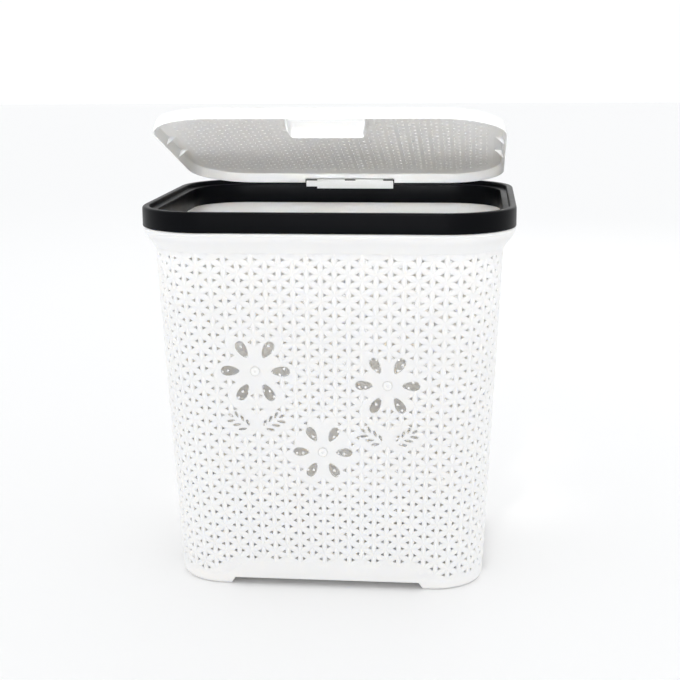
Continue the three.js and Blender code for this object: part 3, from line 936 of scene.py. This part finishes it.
def make_ring(material):
    """An upside-down channel with a raised bead outside and a lower ledge inside for the lid."""
    ledge_top = RING_TOP - RING_LEDGE_DROP
    width = RING_BEAD + RING_LEDGE
    under_top, under_ledge = RING_TOP - RING_SKIN, ledge_top - RING_SKIN
    section = rounded([  # inset, height and edge radius
        (0, RING_TOP - RING_OUTER_DROP, 0.8),
        (0, RING_TOP, 3.2),
        (RING_BEAD, RING_TOP, 1.7),
        (RING_BEAD, ledge_top, 0.6),
        (width, ledge_top, 1.2),
        (width, RING_TOP - RING_INNER_DROP, 0.9),
        (width - RING_SKIN, RING_TOP - RING_INNER_DROP, 0.9),
        (width - RING_SKIN, under_ledge, 0.5),
        (RING_BEAD - RING_SKIN, under_ledge, 0.4),
        (RING_BEAD - RING_SKIN, under_top, 0.6),
        (RING_SKIN, under_top, 1.0),
        (RING_SKIN, RING_TOP - RING_OUTER_DROP, 0.8),
    ])
    rows = [ring_row(inset(RING_SIZE, by), z, ROUND_COUNT) for by, z in section]
    ring = lofted("ring", rows, wrap_rows=True)
    half, front, back = LEG_SLOT.values()
    slots = [
        eased_box("slot", (x - half, front, ledge_top - 4), (x + half, back, ledge_top + PAST), 0)
        for x in BRACKET_LEGS
    ]
    combine(ring, "DIFFERENCE", [merged(slots)])
    return finish_piece(ring, "black_ring", "basket", "rim_collar", material)


# ---------------------------------------------------------------- hinge bracket


def make_bracket(material):
    """The bracket clipped over the ring's rear ledge, with two knuckles on posts."""
    ledge_top = RING_TOP - RING_LEDGE_DROP
    post_back = RING_SIZE[1] - RING_BEAD - BRACKET_GAP
    plate_back = post_back - RING_LEDGE
    plate_front = plate_back - PLATE_SKIN
    shelf_low = ledge_top + BRACKET_GAP
    plate = eased_box(
        "plate", (-HINGE_HALF, plate_front, PLATE_LOW), (HINGE_HALF, plate_back, PLATE_TOP), 0.6
    )
    parts = [
        eased_box(
            "shelf", (-HINGE_HALF + 0.4, plate_front + 0.6, shelf_low),
            (HINGE_HALF - 0.4, post_back, shelf_low + BRACKET_SHELF), 0.3,
        )
    ]
    for x0, x1 in BRACKET_KNUCKLES:
        post_low = (x0, post_back - BRACKET_POST, shelf_low + 0.2)
        parts.append(eased_box("post", post_low, (x1, post_back, HINGE_Z), 0.3))
        parts.append(bar_along_x("knuckle", KNUCKLE_RADIUS, x0, x1, HINGE_Y, HINGE_Z))
    for x in BRACKET_LEGS:
        leg_back = post_back - LEG_BACK
        leg_low = (x - LEG_HALF, leg_back - LEG_SKIN, PLATE_LOW - LEG_DROP)
        parts.append(eased_box("leg", leg_low, (x + LEG_HALF, leg_back, shelf_low + PAST)))
    combine(plate, "UNION", parts)
    groove_low, groove_width, groove_depth = PLATE_GROOVE.values()
    corner = eased_box(
        "corner", (-HINGE_HALF - PAST, plate_front - PAST, PLATE_LOW - PAST),
        (-HINGE_HALF + PLATE_CORNER, plate_back + PAST, groove_low), 0,
    )
    groove = eased_box(
        "groove", (-HINGE_HALF - PAST, plate_front - PAST, groove_low),
        (HINGE_HALF + PAST, plate_front + groove_depth, groove_low + groove_width), 0,
    )
    bore_end = HINGE_HALF + PAST
    bore = bar_along_x("bore", BORE_RADIUS, -bore_end, bore_end, HINGE_Y, HINGE_Z, 0)
    combine(plate, "DIFFERENCE", [corner, groove, bore])
    return finish_piece(plate, "bracket", "basket", "hinge_bracket", material)


# ---------------------------------------------------------------- lid

LID_PLACE = Matrix.Translation((0, HINGE_Y * MM, HINGE_Z * MM)) @ Matrix.Rotation(-REST_ANGLE, 4, "X")


def field_depth(x, y, size, middle=0):
    """How far inside a rounded rectangle a point is, negative outside."""
    over_x = np.abs(x) - (size[0] - size[2])
    over_y = np.abs(y - middle) - (size[1] - size[2])
    outside = np.hypot(np.maximum(over_x, 0), np.maximum(over_y, 0))
    return size[2] - outside - np.minimum(np.maximum(over_x, over_y), 0)


def lid_point(columns, rows):
    return columns * LID_COLUMN_STEP, LID_MIDDLE - rows * LID_ROW_STEP


def lid_depth(x, y):
    """How far inside the lid's woven field a point is, and clear of the grip."""
    grip = (GRIP_HALF, (GRIP_BACK - GRIP_FRONT) / 2, GRIP_CORNER)
    beside_grip = -field_depth(x, y, grip, (GRIP_BACK + GRIP_FRONT) / 2)
    return np.minimum(field_depth(x, y, LID_WEAVE, LID_MIDDLE), beside_grip - LID_GRIP_BORDER)


def lid_weave():
    """The perforated weave of the lid: raised strands on top, and flat underneath."""
    cells = lattice(range(-LID_STRANDS, LID_STRANDS + 1), range(-LID_ROWS, LID_ROWS + 1))
    strand, row, side = cells
    is_open = lid_depth(*lid_point(strand + side * CELL_MIDDLE, row)) > LID_HOLE_BORDER
    level = LID_TOP - FLUSH - LID_STEP

    def place(points):
        x, y = lid_point(*points.T[:2])
        return np.stack([x, y, level + points[:, 2]], axis=1)

    def relief(places):
        return ease(lid_depth(*lid_point(places[..., 0], places[..., 1])) / LID_FADE)

    skin = level - LID_UNDER - LID_STEP
    weave = perforated_weave("lid", cells, is_open, 0, relief, skin, place)
    face_outwards(weave.data)
    outline = ring_row(inset(LID_SIZE, LID_TRIM), 0, ROUND_COUNT, LID_MIDDLE)[:, :2]
    return combine(weave, "INTERSECT", [prism("trim", outline, -LID_CUT, LID_CUT)])


def lid_border():
    """The lid's smooth border with its skirt, which flares a little downwards."""
    section = rounded([  # inset, height and edge radius
        (-LID_FLARE, LID_SKIRT_LOW, 0.8),
        (0.2, LID_TOP, 3.4),
        (LID_BORDER_WIDTH, LID_TOP, 0.3),
        (LID_BORDER_WIDTH, LID_UNDER, 0.3),
        (LID_SKIRT_SKIN + 0.1, LID_UNDER, 1.6),
        (LID_SKIRT_SKIN - LID_FLARE, LID_SKIRT_LOW, 0.8),
    ], 5)
    rows = [ring_row(inset(LID_SIZE, by), z, ROUND_COUNT, LID_MIDDLE) for by, z in section]
    return lofted("border", rows, wrap_rows=True)


def grip_cutter():
    slot = rounded([
        (-GRIP_HALF, GRIP_FRONT, GRIP_CORNER),
        (GRIP_HALF, GRIP_FRONT, GRIP_CORNER),
        (GRIP_HALF, GRIP_BACK, GRIP_CORNER),
        (-GRIP_HALF, GRIP_BACK, GRIP_CORNER),
    ], 6)
    return prism("slot", slot, LID_UNDER - 10, LID_TOP + 8)


def grip_scoop():
    """The finger scoop under the slot: a rear wall and two cheeks in one bent sheet."""

    def bend(half, front, back, radius, z):
        turn = np.linspace(0, math.pi / 2, 7)
        left = np.stack([-half + radius * (1 - np.cos(turn)), back - radius * (1 - np.sin(turn))], 1)
        line = np.concatenate([[(-half, front)], left, left[::-1] * (-1, 1), [(half, front)]])
        return np.insert(line, 2, z, axis=1)

    high = (LID_TOP + LID_UNDER) / 2
    back = GRIP_BACK + SCOOP_SKIN
    wide, narrow = GRIP_HALF + SCOOP_SKIN, SCOOP_LOW_HALF
    front, low_front = GRIP_FRONT + 1, SCOOP_LOW_FRONT
    rows = [
        bend(wide, front, back, GRIP_CORNER + SCOOP_SKIN, high),
        bend(narrow, low_front, back, GRIP_CORNER + SCOOP_SKIN, SCOOP_LOW),
        bend(narrow - SCOOP_SKIN, low_front, back - SCOOP_SKIN, GRIP_CORNER, SCOOP_LOW),
        bend(wide - SCOOP_SKIN, front, back - SCOOP_SKIN, GRIP_CORNER, high),
    ]
    scoop = lofted("scoop", rows, wrap_rows=True, wrap_columns=False)
    trim = rounded([
        (wide + 2, high + 2, 0), (-wide - 2, high + 2, 0),
        (-narrow - 1, SCOOP_LOW + 0.1, 8), (narrow + 1, SCOOP_LOW + 0.1, 8),
    ], 7)
    return combine(scoop, "INTERSECT", [prism("trim", trim, front - 2, back + 2, axis=1)])


def gusset(side, y):
    """A triangular web between the skirt and the underside, on the side -1 or 1."""
    edge = LID_SIZE[0] - LID_SKIRT_SKIN / 2
    high = (LID_TOP + LID_UNDER) / 2
    outline = [(edge, high), (edge - GUSSET_REACH, high), (edge + 1.8, high - GUSSET_REACH - 0.5)]
    return prism("gusset", np.array(outline) * (side, 1), y - GUSSET_HALF, y + GUSSET_HALF, axis=1)


def lid_knuckles():
    parts = []
    for x0, x1 in LID_KNUCKLES:
        web = eased_box("web", (x0, -LID_REAR - 1.5, 0), (x1, 0, LID_TOP), 0.3)
        heel = eased_box("heel", (x0, -0.5, 0), (x1, KNUCKLE_HEEL, LID_TOP), 0.3)
        parts += [bar_along_x("knuckle", KNUCKLE_RADIUS, x0, x1), web, heel]
    return parts


def make_lid(material):
    lid = lid_weave()
    combine(lid, "UNION", [lid_border()])
    notch_half = HINGE_HALF + 1.5
    notch = eased_box(
        "notch", (-notch_half, -LID_REAR - 6, LID_SKIRT_LOW - PAST),
        (notch_half, 0, PLATE_TOP + 1 - HINGE_Z), 0,
    )
    combine(lid, "DIFFERENCE", [grip_cutter(), notch])
    webs = merged([gusset(side, y) for side in (-1, 1) for y in GUSSET_PLACES])
    combine(lid, "UNION", [grip_scoop(), webs, *lid_knuckles()])
    bore = bar_along_x("bore", BORE_RADIUS, -HINGE_HALF - PAST, HINGE_HALF + PAST, edge=0)
    combine(lid, "DIFFERENCE", [bore])
    lid.data.transform(LID_PLACE)
    return finish_piece(lid, "lid", "lid", "lid_panel", material)


# ---------------------------------------------------------------- assembly

make_camera()
make_stage()
make_basket(make_material("basket_plastic"))
make_ring(make_material("ring_plastic"))
make_bracket(make_material("hinge_plastic"))
make_lid(make_material("lid_plastic"))
steel = make_material("pin_steel")
for pin_slot in frame["nodes"]["hinge_pin"].material_slots:
    pin_slot.material = steel
